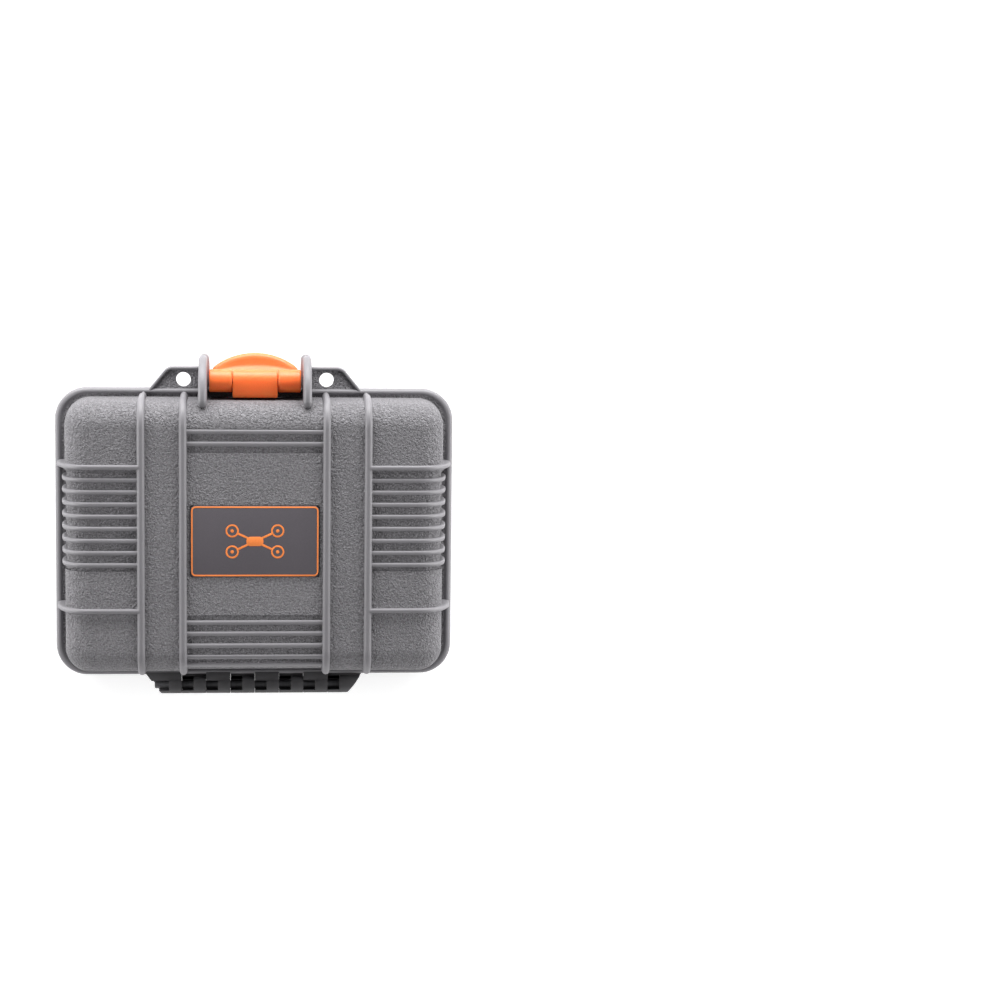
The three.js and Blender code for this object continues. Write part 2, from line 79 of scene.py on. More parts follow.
# ---------- driving dimensions, in millimetres ----------
GAP = 0.15  # half the slit between the flanges
FLANGE = Sizes(half_x=106.75, half_y=78.0, radius=16.8)
LID = Sizes(half_x=101.2, half_y=73.4, fillet=13.0, draft=0.8, height=34.0, wall=3.0)
BASE = Sizes(half_x=103.2, half_y=74.9, fillet=11.0, draft=0.9, height=BASE_HEIGHT - 1.2, wall=3.4)
LEDGE_Z = 3.3  # the flange's ledge, just below its raised rim
FLANGE_Z = 4.0

RIB_X = (38.0, 60.0)
RIB_HALF = 2.05
RIB_TOP = 2.0
LONG_RIB_Y = 38.3
FINE_RIB_HALF = 1.35
FINE_RIBS_SIDE = [-31.5 + 6.46 * i for i in range(8)]
FINE_RIBS_FRONT = [-57.3, -50.8]
FINE_RIBS_REAR = [44.6, 50.6, 57.0, 63.2, 67.9]
RECESS = 1.1
SIDE_ZONE = (-LONG_RIB_Y, 17.0)
FRONT_ZONE = (-58.9, -45.8)
REAR_ZONE = 40.6
LABEL = Sizes(width=67.7, depth=37.8, y=0.9, radius=2.6, pocket=0.9)

FOOT = Sizes(width=19.4, depth=8.2, slot_x=13.8, slot_y=3.0, height=1.2)
FOOT_ROWS = Sizes(x=65.2, y=-1.2, pitch=10.7, count=11)
PANEL_STEPS = ((27.3, 0.35), (53.0, 0.45), (75.6, -0.8))  # base: (distance from the middle, step down)
PLATE_X = (25.5, 30.0)
EAR_HOLE = (38.4, -82.6, 4.0)  # x, y and radius
EAR = Sizes(rim=1.7, face=2.7)
HINGE = Sizes(radius=4.8, pin=2.1, first=52.8, pitch=13.2, count=8, window=2.6, gap=0.05)
HINGE_END = Sizes(root=58.6, tip=50.4)  # half the hinge's length at the flange and at its free edge
SCALLOP = Sizes(half=27.0, depth=7.2)
CLAW_POCKET = Sizes(half=25.2, depth=7.2, z=12.8)
BOSS = Sizes(half=31.0, y=-63.4)  # the thicker wall inside the base, behind the latch

BARREL = 6.1
LINK_HALF = 11.95
LEVER_HALF = 24.4
BLADE_HALF = 23.8
ARCH = Sizes(tip=-96.6, end=-87.2, corner=2.6)
LIP = Sizes(width=3.0, side=20.6, end=-82.3, z=-8.7)

# foam pockets: x, y, width, depth and corner radius
POCKETS = [
    (0.0, 26.0, 168.0, 62.0, 12.0),
    (-56.0, -36.5, 56.0, 42.0, 8.0),
    (9.0, -36.5, 50.0, 42.0, 8.0),
    (63.0, -36.5, 40.0, 42.0, 8.0),
]


# ---------- materials ----------
def new_material(name):
    mat = bpy.data.materials.new(name)
    mat.use_nodes = True
    tree = mat.node_tree
    shader = tree.nodes["Principled BSDF"]
    return mat, tree, shader


def link(tree, a, b):
    tree.links.new(a, b)


def texture(tree, kind, **inputs):
    """A texture in the object's own coordinates."""
    coords = tree.nodes.new("ShaderNodeTexCoord")
    node = tree.nodes.new(kind)
    for name, value in inputs.items():
        node.inputs[name].default_value = value
    link(tree, coords.outputs["Object"], node.inputs["Vector"])
    return node


def noise(tree, scale, detail=3.0, rough=0.55, distortion=0.0):
    return texture(tree, "ShaderNodeTexNoise", Scale=scale, Detail=detail, Roughness=rough,
                   Distortion=distortion)


def ramp(tree, source, stops):
    node = tree.nodes.new("ShaderNodeValToRGB")
    elements = node.color_ramp.elements
    while len(elements) < len(stops):
        elements.new(0.5)
    for element, (place, colour) in zip(elements, stops):
        element.position = place
        element.color = (*colour, 1.0) if len(colour) == 3 else colour
    link(tree, source, node.inputs["Fac"])
    return node


def mix_colour(tree, factor, a, b, blend="MIX"):
    node = tree.nodes.new("ShaderNodeMix")
    node.data_type = "RGBA"
    node.blend_type = blend
    for socket, value in ((node.inputs["Factor"], factor), (node.inputs[6], a), (node.inputs[7], b)):
        if isinstance(value, (int, float)):
            socket.default_value = value
        elif isinstance(value, tuple):
            socket.default_value = (*value, 1.0)
        else:
            link(tree, value, socket)
    return node.outputs[2]


def bump(tree, shader, height, strength, distance, after=None):
    node = tree.nodes.new("ShaderNodeBump")
    node.inputs["Strength"].default_value = strength
    node.inputs["Distance"].default_value = distance
    link(tree, height, node.inputs["Height"])
    if after is not None:
        link(tree, after, node.inputs["Normal"])
    link(tree, node.outputs["Normal"], shader.inputs["Normal"])
    return node.outputs["Normal"]


def shaded(colour, factor):
    return tuple(min(1.0, c * factor) for c in colour)


def roughness_from(tree, shader, source, low, high):
    node = tree.nodes.new("ShaderNodeMapRange")
    node.inputs["To Min"].default_value = low
    node.inputs["To Max"].default_value = high
    link(tree, source, node.inputs["Value"])
    link(tree, node.outputs["Result"], shader.inputs["Roughness"])


def worn_edges(tree, colour_out, light, amount):
    """Lightens the most convex edges a little, broken up by noise."""
    geometry = tree.nodes.new("ShaderNodeNewGeometry")
    edge = ramp(tree, geometry.outputs["Pointiness"], [(0.52, (0, 0, 0)), (0.60, (amount,) * 3)])
    patchy = ramp(tree, noise(tree, 60.0, 4.0).outputs["Fac"], [(0.42, (0, 0, 0)), (0.62, (1, 1, 1))])
    both = mix_colour(tree, 1.0, edge.outputs["Color"], patchy.outputs["Color"], "MULTIPLY")
    return mix_colour(tree, both, colour_out, light)


def moulded_plastic(name, colour, rough, grain):
    """Injection-moulded plastic: tone variation, worn edges, and leather grain or a satin skin."""
    mat, tree, shader = new_material(name)
    tone = noise(tree, 14.0, 3.0)
    toned = ramp(tree, tone.outputs["Fac"], [(0.3, shaded(colour, 0.95)), (0.7, shaded(colour, 1.05))])
    fine = noise(tree, 1050.0 if grain else 2600.0, 2.5, 0.6, 0.4)
    speck = ramp(tree, fine.outputs["Fac"], [(0.38, (0.66, 0.66, 0.66)), (0.62, (1.20, 1.20, 1.20))])
    strength = 1.0 if grain else 0.2
    specked = mix_colour(tree, strength, toned.outputs["Color"], speck.outputs["Color"], "MULTIPLY")
    worn = worn_edges(tree, specked, shaded(colour, 1.7), 0.35)
    link(tree, worn, shader.inputs["Base Color"])
    roughness_from(tree, shader, fine.outputs["Fac"], rough - 0.08, rough + 0.08)
    if grain:
        cells = noise(tree, 760.0, 1.5, 0.5, 0.9)
        first = bump(tree, shader, cells.outputs["Fac"], 1.0, 0.0018)
        bump(tree, shader, fine.outputs["Fac"], 0.3, 0.00015, first)
    else:
        bump(tree, shader, fine.outputs["Fac"], 0.12, 0.0001)
    shader.inputs["Specular IOR Level"].default_value = 0.45
    return mat


def steel(name, colour):
    mat, tree, shader = new_material(name)
    coords = tree.nodes.new("ShaderNodeTexCoord")
    stretch = tree.nodes.new("ShaderNodeMapping")
    stretch.inputs["Scale"].default_value = (2500.0, 60.0, 60.0)
    turned = tree.nodes.new("ShaderNodeTexNoise")
    turned.inputs["Scale"].default_value = 1.0
    link(tree, coords.outputs["Object"], stretch.inputs["Vector"])
    link(tree, stretch.outputs["Vector"], turned.inputs["Vector"])
    tint = ramp(tree, turned.outputs["Fac"], [(0.3, shaded(colour, 0.8)), (0.7, shaded(colour, 1.1))])
    link(tree, tint.outputs["Color"], shader.inputs["Base Color"])
    roughness_from(tree, shader, turned.outputs["Fac"], 0.38, 0.52)
    bump(tree, shader, turned.outputs["Fac"], 0.1, 0.00005)
    shader.inputs["Metallic"].default_value = 0.6
    return mat


def rubber(name, colour):
    mat, tree, shader = new_material(name)
    fine = noise(tree, 1800.0, 3.0)
    tint = ramp(tree, fine.outputs["Fac"], [(0.3, shaded(colour, 0.8)), (0.7, shaded(colour, 1.4))])
    link(tree, tint.outputs["Color"], shader.inputs["Base Color"])
    roughness_from(tree, shader, fine.outputs["Fac"], 0.55, 0.75)
    bump(tree, shader, fine.outputs["Fac"], 0.15, 0.0001)
    return mat


def open_foam(name, colour):
    mat, tree, shader = new_material(name)
    cells = texture(tree, "ShaderNodeTexVoronoi", Scale=900.0, Randomness=1.0)
    fine = noise(tree, 2400.0, 4.0, 0.7)
    pores = ramp(tree, cells.outputs["Distance"], [(0.1, shaded(colour, 0.45)), (0.6, shaded(colour, 1.5))])
    tone = ramp(tree, noise(tree, 25.0).outputs["Fac"], [(0.3, (0.85,) * 3), (0.7, (1.1,) * 3)])
    link(tree, mix_colour(tree, 1.0, pores.outputs["Color"], tone.outputs["Color"], "MULTIPLY"),
         shader.inputs["Base Color"])
    roughness_from(tree, shader, fine.outputs["Fac"], 0.88, 1.0)
    first = bump(tree, shader, cells.outputs["Distance"], 0.8, 0.0006)
    bump(tree, shader, fine.outputs["Fac"], 0.5, 0.0003, first)
    shader.inputs["Specular IOR Level"].default_value = 0.15
    shader.inputs["Sheen Weight"].default_value = 0.15
    return mat


def slot_colour(slot):
    for entry in frame["record"]["materials"]:
        if entry["slot"] == slot:
            return tuple(entry["base_color"][:3])
    raise ValueError(slot)


def orange_plastic(name, colour):
    """The latch's plastic lets a little red light through, so its shaded sides stay warm."""
    mat = moulded_plastic(name, (colour[0], colour[1] * 0.88, colour[2]), 0.46, False)
    shader = mat.node_tree.nodes["Principled BSDF"]
    shader.inputs["Subsurface Weight"].default_value = 0.4
    shader.inputs["Subsurface Radius"].default_value = (1.0, 0.2, 0.08)
    shader.inputs["Subsurface Scale"].default_value = 0.004
    return mat


GREY = slot_colour("shell")
MATERIALS = {
    "shell_grain": moulded_plastic("shell_grain", GREY, 0.62, True),
    "shell_satin": moulded_plastic("shell_satin", shaded(GREY, 1.05), 0.5, False),
    # painted shade: the shells' own grey darkened to about a quarter, standing in for the lid's shadow that
    # the hinge lies in
    "hinge_painted_shade": moulded_plastic("hinge_painted_shade", shaded(GREY, 0.26), 0.65, False),
    "latch": orange_plastic("latch_satin", slot_colour("latch")),
    "steel": steel("turned_steel", slot_colour("steel")),
    "seal": rubber("seal_rubber", slot_colour("seal")),
    "foam": open_foam("open_foam", slot_colour("foam")),
    "label": moulded_plastic("label_satin", slot_colour("label"), 0.6, False),
    "print": moulded_plastic("label_print", slot_colour("print"), 0.45, False),
}


# the third look is the hinge's painted shade, the same grey plastic made darker as if in shadow
SHELL_LOOKS = ["shell_grain", "shell_satin", "hinge_painted_shade"]  # in the order the shells' faces number them


# ---------- mesh building ----------
def as_lists(body):
    """The vertices and faces of a body that may still be a bmesh."""
    if isinstance(body, tuple):
        return body
    body.verts.index_update()
    lists = [tuple(v.co) for v in body.verts], [tuple(v.index for v in f.verts) for f in body.faces]
    body.free()
    return lists


class Build:
    """Collects closed bodies in local millimetres, for one object."""

    def __init__(self, *bodies):
        self.verts, self.faces, self.mats = [], [], []
        for body in bodies:
            self.add(body)

    def add(self, body, mats=0):
        verts, faces = as_lists(body)
        start = len(self.verts)
        self.verts.extend(verts)
        self.faces.extend([start + i for i in face] for face in faces)
        self.mats.extend(mats if isinstance(mats, list) else [mats] * len(faces))

    def add_pair(self, body, mat=0):
        """Adds a body and its mirror image across x = 0."""
        verts, faces = as_lists(body)
        self.add((verts, faces), mat)
        self.add(([(-x, y, z) for x, y, z in verts], [tuple(reversed(f)) for f in faces]), mat)


def make_object(node, build, body, slot, looks=None, sharp=35.0):
    """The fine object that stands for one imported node. Its look is its slot's, unless `looks` says more."""
    name = node + "_fine"
    mesh = bpy.data.meshes.new(name)
    verts = [(x * MM, y * MM + CENTRE_Y, z * MM + PARTING_Z) for x, y, z in build.verts]
    mesh.from_pydata(verts, [], build.faces)
    for key in looks or [slot]:
        mesh.materials.append(MATERIALS[key])
    for polygon, index in zip(mesh.polygons, build.mats):
        polygon.material_index = index
    mesh.validate()
    bm = bmesh.new()
    bm.from_mesh(mesh)
    limit = math.radians(sharp)
    for face in bm.faces:
        face.smooth = True
    for edge in bm.edges:
        edge.smooth = len(edge.link_faces) == 2 and edge.calc_face_angle(0.0) < limit
    bm.to_mesh(mesh)
    bm.free()
    obj = bpy.data.objects.new(name, mesh)
    bpy.context.scene.collection.objects.link(obj)
    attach(obj, body)
    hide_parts(node)
    return obj


def skin(rows, caps=True):
    """Faces over a stack of closed rows of vertex numbers, and its two ends."""
    faces = []
    for first, second in zip(rows, rows[1:]):
        for k in range(len(first)):
            m = (k + 1) % len(first)
            faces.append((first[k], first[m], second[m], second[k]))
    if caps:
        faces += [tuple(reversed(rows[0])), tuple(rows[-1])]
    return faces


def numbered(count, size):
    """Rows of vertex numbers, for vertices that were made row by row."""
    return [range(s * size, (s + 1) * size) for s in range(count)]


def bevelled(bm, width, segments=3, angle=30.0):
    """Rounds every edge of a solid that is sharper than `angle`."""
    edges = [e for e in bm.edges if len(e.link_faces) == 2 and e.calc_face_angle(0.0) > math.radians(angle)]
    bmesh.ops.bevel(bm, geom=edges, offset=width, segments=segments, profile=0.5,
                    affect="EDGES", clamp_overlap=True)
    return bm


AXES = {
    "x": lambda a, b, depth: (depth, a, b),
    "y": lambda a, b, depth: (b, depth, a),
    "z": lambda a, b, depth: (a, b, depth),
}


def prism(outline, axis, low, high, bevel=0.4, holes=(), segments=3):
    """A bevelled prism. Outlines are anticlockwise: (y, z) for axis x, (z, x) for axis y, (x, y) for z."""
    place = AXES[axis]
    bm = bmesh.new()
    edges = []
    for loop in (outline, *holes):
        ring = [bm.verts.new(place(a, b, low)) for a, b in loop]
        edges += [bm.edges.new((ring[i], ring[(i + 1) % len(ring)])) for i in range(len(ring))]
    if holes:
        bmesh.ops.triangle_fill(bm, use_beauty=True, edges=edges)
    else:
        bm.faces.new(ring)
    faces = list(bm.faces)
    moved = bmesh.ops.extrude_face_region(bm, geom=faces)
    shift = Vector(place(0, 0, high - low))
    bmesh.ops.translate(bm, vec=shift, verts=[g for g in moved["geom"] if isinstance(g, bmesh.types.BMVert)])
    bmesh.ops.recalc_face_normals(bm, faces=bm.faces)
    if holes:
        bmesh.ops.dissolve_limit(bm, angle_limit=0.01, verts=bm.verts, edges=bm.edges)
    if bevel:
        bevelled(bm, bevel, segments)
    return bm


def arc(x, y, radius, start, end, steps):
    """Points on an arc, angles in degrees, both ends included."""
    points = []
    for i in range(steps + 1):
        angle = math.radians(start + (end - start) * i / steps)
        points.append((x + radius * math.cos(angle), y + radius * math.sin(angle)))
    return points


def circle(x, y, radius, steps=32):
    return arc(x, y, radius, 0, 360 - 360 / steps, steps - 1)


def rounded_rect(width, depth, radius, x=0.0, y=0.0, steps=6):
    a, b = width / 2 - radius, depth / 2 - radius
    points = []
    for cx, cy, start in ((a, b, 0), (-a, b, 90), (-a, -b, 180), (a, -b, 270)):
        points += arc(x + cx, y + cy, radius, start, start + 90, steps)
    return points


def rod(y, z, radius, x0, x1, steps=32, chamfer=0.4):
    """A round bar along X with rounded ends."""
    profile = [(x0, 0.0), (x0, radius - chamfer), (x0 + chamfer * 0.3, radius - chamfer * 0.3),
               (x0 + chamfer, radius), (x1 - chamfer, radius), (x1 - chamfer * 0.3, radius - chamfer * 0.3),
               (x1, radius - chamfer), (x1, 0.0)]
    verts = []
    for x, r in profile[1:-1]:
        verts += [(x, b, c) for b, c in circle(y, z, r, steps)]
    rows = numbered(len(profile) - 2, steps)
    faces = skin(rows, caps=False)
    for i in range(steps):
        j = (i + 1) % steps
        faces += [(len(verts), rows[0][j], rows[0][i]), (len(verts) + 1, rows[-1][i], rows[-1][j])]
    return verts + [(x0, y, z), (x1, y, z)], faces


# ---------- moulded shells ----------
def grid_lines(limit, marks, spacing=3.0):
    """Marks inside the limit, both ends, and even steps in between."""
    kept = []
    for mark in sorted([-limit, limit] + [m for m in marks if abs(m) < limit - 0.05]):
        if not kept or mark - kept[-1] > 0.06:
            kept.append(mark)
    lines = [kept[0]]
    for mark in kept[1:]:
        count = max(1, math.ceil((mark - lines[-1]) / spacing))
        start = lines[-1]
        lines += [start + (mark - start) * i / count for i in range(1, count + 1)]
    return lines


def around(value, offsets):
    return [value + o for o in offsets] + [value - o for o in offsets]


RIB_MARKS = (0.0, 0.75, 1.3, 1.7, 1.95, RIB_HALF)
FINE_MARKS = (0.0, 0.6, 1.0, 1.2, 1.3, FINE_RIB_HALF)
STEP_MARKS = (0.0, 0.28)


def bar_profile(offset, half, squareness=2.0):
    """Height from 0 to 1 across a rib: a half ellipse, squarer for a higher squareness."""
    share = abs(offset) / half
    return (1.0 - share ** squareness) ** 0.5 if share < 1.0 else 0.0


def smooth(value):
    t = min(1.0, max(0.0, value))
    return t * t * (3 - 2 * t)


def no_slide(x, y):
    return 0.0


CORNER_STEPS = 14


class ShellGrid:
    """A shell drawn as a flat grid of lines whose ends run on over the edges and down the walls."""

    def __init__(self, wall, up, xs, ys):
        self.wall = wall
        self.up = up
        self.xs, self.ys = xs, ys
        self.hx, self.hy = xs[-1], ys[-1]
        self.verts, self.faces, self.mats = [], [], []
        self.ring = self.border()

    def border(self):
        nx, ny = len(self.xs), len(self.ys)
        ring = []

        def corner(i, j, start):
            for k in range(1, CORNER_STEPS):
                ring.append((i, j, math.radians(start + 90.0 * k / CORNER_STEPS), True))

        ring += [(i, 0, math.radians(-90), False) for i in range(nx)]
        corner(nx - 1, 0, -90)
        ring += [(nx - 1, j, 0.0, False) for j in range(ny)]
        corner(nx - 1, ny - 1, 0)
        ring += [(i, ny - 1, math.radians(90), False) for i in reversed(range(nx))]
        corner(0, ny - 1, 90)
        ring += [(0, j, math.radians(180), False) for j in reversed(range(ny))]
        corner(0, 0, 180)
        return ring

    def ring_point(self, entry, half_x, half_y, radius):
        """Where a ring of this size passes: straight along the sides, round in the corners."""
        i, j, theta, corner = entry
        x, y = self.xs[i], self.ys[j]
        dx, dy = math.cos(theta), math.sin(theta)
        if corner:
            cx = math.copysign(half_x - radius, x)
            cy = math.copysign(half_y - radius, y)
            return cx + radius * dx, cy + radius * dy
        if abs(dx) > 0.5:
            return math.copysign(half_x, dx), y
        return x, math.copysign(half_y, dy)

    def add_grid(self, height, field, slide=no_slide):
        for y in self.ys:
            for x in self.xs:
                self.verts.append((x, y + slide(x, y), self.up * (height + field(x, y, 0.0))))
        nx = len(self.xs)
        for j in range(len(self.ys) - 1):
            for i in range(nx - 1):
                a = j * nx + i
                self.add_face((a, a + 1, a + nx + 1, a + nx))
        self.last = [j * nx + i for i, j, _, _ in self.ring]

    def add_face(self, face, mat=None):
        self.faces.append(tuple(face) if self.up > 0 else tuple(reversed(face)))
        self.mats.append(mat)

    def add_row(self, points, mat=None):
        start = len(self.verts)
        self.verts.extend(points)
        row = list(range(start, start + len(points)))
        count = len(row)
        for k in range(count):
            a, b = self.last[k], self.last[(k + 1) % count]
            c, d = row[(k + 1) % count], row[k]
            self.add_face((a, d, c) if a == b else (a, d, c, b), mat)
        self.last = row
        return row

    def outer_row(self, off, z, slope, depth, field, slide=no_slide):
        """One line round the outside. `slope` is the surface's angle: 0 on the flat, 90 on the walls."""
        tilt = math.radians(slope)
        points = []
        for entry in self.ring:
            x, y = self.ring_point(entry, self.hx + off, self.hy + off, max(off, 0.05))
            dx, dy = math.cos(entry[2]), math.sin(entry[2])
            lift = field(x, y, depth)
            points.append((
                x + dx * lift * math.sin(tilt),
                y + slide(x, y) + dy * lift * math.sin(tilt),
                self.up * (z + lift * math.cos(tilt)),
            ))
        self.add_row(points)

    def flange_rows(self, shares, shoulder, slide=no_slide):
        """Ledge and rim. Each share is how far out a line lies, from the wall's foot to the edge."""
        foot = self.wall.fillet + self.wall.draft
        heights = [LEDGE_Z - 0.03, LEDGE_Z, LEDGE_Z + 0.15, shoulder]
        heights += [FLANGE_Z - drop for drop in (0.0, 0.05, 0.25, 0.6, 1.1, 1.7, 2.2)]
        heights += [0.6, GAP + 0.1, GAP]
        edge = (FLANGE.half_x, FLANGE.half_y, FLANGE.radius)
        lines = []
        for entry in self.ring:
            x, y = self.ring_point(entry, self.hx + foot, self.hy + foot, foot)
            lines.append((x, y + slide(x, y), *self.ring_point(entry, *edge)))
        for k, (share, z) in enumerate(zip(shares, heights)):
            self.add_row([(x0 + (x1 - x0) * share, y0 + (y1 - y0) * share, self.up * z)
                          for x0, y0, x1, y1 in lines], 0 if k < 2 else 1)

    def inset_row(self, inset, z, mat=1):
        flange = (FLANGE.half_x - inset, FLANGE.half_y - inset, FLANGE.radius - inset)
        self.add_row([(*self.ring_point(e, *flange), self.up * z) for e in self.ring], mat)

    def inner_rows(self, clear_front=None):
        """The cavity: down the inside of the walls, round the fillet, and a flat end.

        clear_front names a part of the front where the cavity starts further back."""
        wall = self.wall
        thick = wall.wall
        fillet = wall.fillet - thick
        shoulder = wall.height - thick - fillet
        rows = [(0.0, GAP), (0.0, GAP + 0.7), (wall.draft, shoulder)]
        for k in range(1, 7):
            angle = math.radians(15 * k)
            shrink = wall.draft + fillet * (1 - math.cos(angle))
            rows.append((shrink, shoulder + fillet * math.sin(angle)))
        for shrink, z in rows:
            by = thick + shrink
            size = (wall.half_x - by, wall.half_y - by, max(wall.fillet + 0.8 - by, 0.5))
            points = []
            for entry in self.ring:
                x, y = self.ring_point(entry, *size)
                if clear_front and abs(x) < clear_front.half:
                    y = max(y, clear_front.y)
                points.append((x, y, self.up * z))
            self.add_row(points, 1)
        cap = list(reversed(self.last))
        self.add_face(cap, 1)

    def paint(self, proud):
        """Grained faces take slot 0; ribs and other proud faces take the smooth slot 1."""
        mats = []
        for face, mat in zip(self.faces, self.mats):
            if mat is None:
                mat = 1 if proud(face) else 0
            mats.append(mat)
        return mats


def fillet_rows(wall, angles):
    """(off, z, slope) down the rounded edge, from the flat to the top of the wall."""
    rows = []
    for angle in angles:
        t = math.radians(angle)
        drop = wall.fillet * (1 - math.cos(t))
        rows.append((wall.fillet * math.sin(t), wall.height - drop, angle))
    return rows


def flat_half(wall):
    by = wall.draft + wall.fillet
    return wall.half_x - by, wall.half_y - by


# ---------- lid ----------
def rib_lift(lift, y, ribs, foot, rise):
    """The higher of the surface and these fine ribs."""
    for rib in ribs:
        share = bar_profile(y - rib, FINE_RIB_HALF, 4.0)
        if share > 0:
            lift = max(lift, foot + rise * share)
    return lift


def lid_field(x, y, depth):
    """Height of ribs and recesses over the plain lid. depth runs from 0 on top to 1 at the ledge."""
    ax = abs(x)
    inner_edge = RIB_X[0] - RIB_HALF
    outer_edge = RIB_X[1] + RIB_HALF
    wall = smooth((depth - 0.35) / 0.4)
    lift = 0.0
    if ax > outer_edge + 0.2 and SIDE_ZONE[0] < y < SIDE_ZONE[1]:
        lift = -RECESS
    if ax < inner_edge - 0.2:
        in_front = FRONT_ZONE[0] < y < FRONT_ZONE[1]
        in_rear = y > REAR_ZONE and depth < 0.8
        in_label = abs(x) < LABEL.width / 2 + 0.45 and abs(y - LABEL.y) < LABEL.depth / 2 + 0.45
        if in_front or in_rear:
            lift = -RECESS
        elif in_label:
            lift = -LABEL.pocket
    for rib_x in RIB_X:
        share = bar_profile(ax - rib_x, RIB_HALF)
        if share > 0:
            lift = (RIB_TOP + 0.8 * wall) * share
    if ax > RIB_X[1]:
        lift = rib_lift(lift, y, (-LONG_RIB_Y, LONG_RIB_Y), 0.0, RIB_TOP - 0.1 + 2.6 * wall)
        lift = rib_lift(lift, y, FINE_RIBS_SIDE, -RECESS, RECESS + 0.95 + 0.8 * wall)
        if abs(abs(y) - LONG_RIB_Y) > FINE_RIB_HALF:
            lift *= 1.0 - smooth((depth - 0.86) / 0.12)
    if ax < RIB_X[0]:
        lift = rib_lift(lift, y, FINE_RIBS_FRONT + FINE_RIBS_REAR, -RECESS, RECESS + 0.5)
    return lift


def lid_grid():
    hx, hy = flat_half(LID)
    x_marks = []
    for rib in RIB_X:
        x_marks += around(rib, RIB_MARKS) + around(rib, (RIB_HALF + 0.21, RIB_HALF + 0.45))
    x_marks += around(LABEL.width / 2 + 0.45, (0.0, 0.25))
    x_marks += [-m for m in x_marks]
    y_marks = []
    for rib in (-LONG_RIB_Y, LONG_RIB_Y, *FINE_RIBS_SIDE, *FINE_RIBS_FRONT, *FINE_RIBS_REAR):
        y_marks += around(rib, FINE_MARKS)
    for edge in (*SIDE_ZONE, *FRONT_ZONE, REAR_ZONE):
        y_marks += around(edge, STEP_MARKS)
    for side in (-1, 1):
        y_marks += around(LABEL.y + side * (LABEL.depth / 2 + 0.45), (0.0, 0.25))
    grid = ShellGrid(LID, 1, grid_lines(hx, x_marks, 3.0), grid_lines(hy, y_marks, 3.0))
    grid.add_grid(LID.height, lid_field)
    angles = {0.0}
    for rib in FINE_RIBS_REAR:
        for mark in around(rib, FINE_MARKS):
            share = (mark - hy) / LID.fillet
            if 0.0 < share < 1.0:
                angles.add(math.degrees(math.asin(share)))
    angles |= {4.0 * k for k in range(1, 23)} | {90.0}
    spread = []
    for angle in sorted(angles):
        if not spread or angle - spread[-1] > 0.3:
            spread.append(angle)
    for off, z, slope in fillet_rows(LID, spread[1:]):
        grid.outer_row(off, z, slope, 0.55 * slope / 90, lid_field)
    shoulder = LID.height - LID.fillet
    for k in range(1, 6):
        share = k / 5
        z = shoulder + (LEDGE_Z - shoulder) * share
        grid.outer_row(LID.fillet + LID.draft * share, z, 90, 0.55 + 0.45 * share, lid_field)
    shares = (0.0, 0.34, 0.40, 0.47, 0.56, 0.68, 0.79, 0.88, 0.95, 0.99, 1.0, 1.0, 0.985, 0.96)
    grid.flange_rows(shares, FLANGE_Z - 0.15)
    for inset, z in ((2.4, GAP), (2.4, 1.1), (4.8, 1.1), (4.8, GAP)):
        grid.inset_row(inset, z)
    grid.inner_rows()
    return grid


# ---------- ears, plates, hinge ----------
def ear_path(inset):
    """The free edge of one padlock ear in plan, from the flange up its slope and along its flat top."""
    foot_x, foot_y = 57.1, -77.0
    knee_x, top = 46.9, -89.5
    slope = math.atan2(foot_y - top, foot_x - knee_x)
    dx, dy = math.sin(slope), -math.cos(slope)
    turn = math.degrees(slope)
    radius = 6.0 - inset
    reach = 6.0 * math.tan(slope / 2)
    cx, cy = knee_x - reach, top + 6.0
    points = [(foot_x - inset * dx, foot_y - inset * dy)]
    points += arc(cx, cy, radius, turn - 90, -90, 7)
    points.append((PLATE_X[1] - 1.0, top + inset))
    return points


def closed_back(path, inner_y):
    """Closes an ear's path along the flange, anticlockwise."""
    points = path + [(path[-1][0], inner_y), (path[0][0], inner_y)]
    return list(reversed(points))


def add_ears(build, up):
    """Padlock ears: a grained face with a hole, inside a smooth raised rim."""
    hole = circle(*EAR_HOLE, 40)
    z = sorted((up * GAP, up * EAR.face))
    build.add_pair(prism(closed_back(ear_path(0.2), -76.2), "z", *z, 0.25, [hole], 2), 0)
    outer, inner = ear_path(0.0), ear_path(EAR.rim)
    strip = list(reversed(outer + list(reversed(inner))))
    z = sorted((up * GAP, up * (FLANGE_Z - 0.1)))
    build.add_pair(prism(strip, "z", *z, 0.6, (), 3), 1)


def plate_outline(height, back_y):
    """A latch plate from the side, anticlockwise: upright at the front, then curving back to the shell."""
    front, inner, seal_front = -95.9, -71.2, -76.3
    points = arc(front + 3.0, GAP + 3.0, 3.0, 270, 180, 4)
    points += [(front, 8.5)]
    for k in range(1, 12):
        t = math.pi / 2 * k / 11
        y = front + (back_y - 4.0 - front) * (1 - math.cos(t))
        points.append((y, 8.5 + (height - 8.5) * math.sin(t)))
    points += arc(back_y - 4.0, height - 4.0, 4.0, 90, 0, 5)[1:]
    points += [(back_y, height - 9.0), (inner, height - 14.0)]
    points += [(inner, 3.2), (seal_front, 3.2), (seal_front, GAP)]
    return list(reversed(points))


def offset_outline(points, inset):
    """Moves an anticlockwise outline inwards along its corner normals."""
    moved = []
    count = len(points)
    for i, (x, y) in enumerate(points):
        (px, py), (nx, ny) = points[i - 1], points[(i + 1) % count]
        dx, dy = nx - px, ny - py
        length = math.hypot(dx, dy)
        moved.append((x - dy / length * inset, y + dx / length * inset))
    return moved


def rounded_slab(outline, x0, x1, radius, steps=6):
    """A slab across X whose edge is rounded all the way along its outline."""
    stations = []
    for k in range(steps + 1):
        angle = math.pi / 2 * k / steps
        stations.append((x0 + radius * (1 - math.cos(angle)), radius * (1 - math.sin(angle))))
    stations += [(x0 + x1 - x, inset) for x, inset in reversed(stations)]
    verts = [(x, y, z) for x, inset in stations for y, z in offset_outline(outline, inset)]
    return verts, skin(numbered(len(stations), len(outline)))


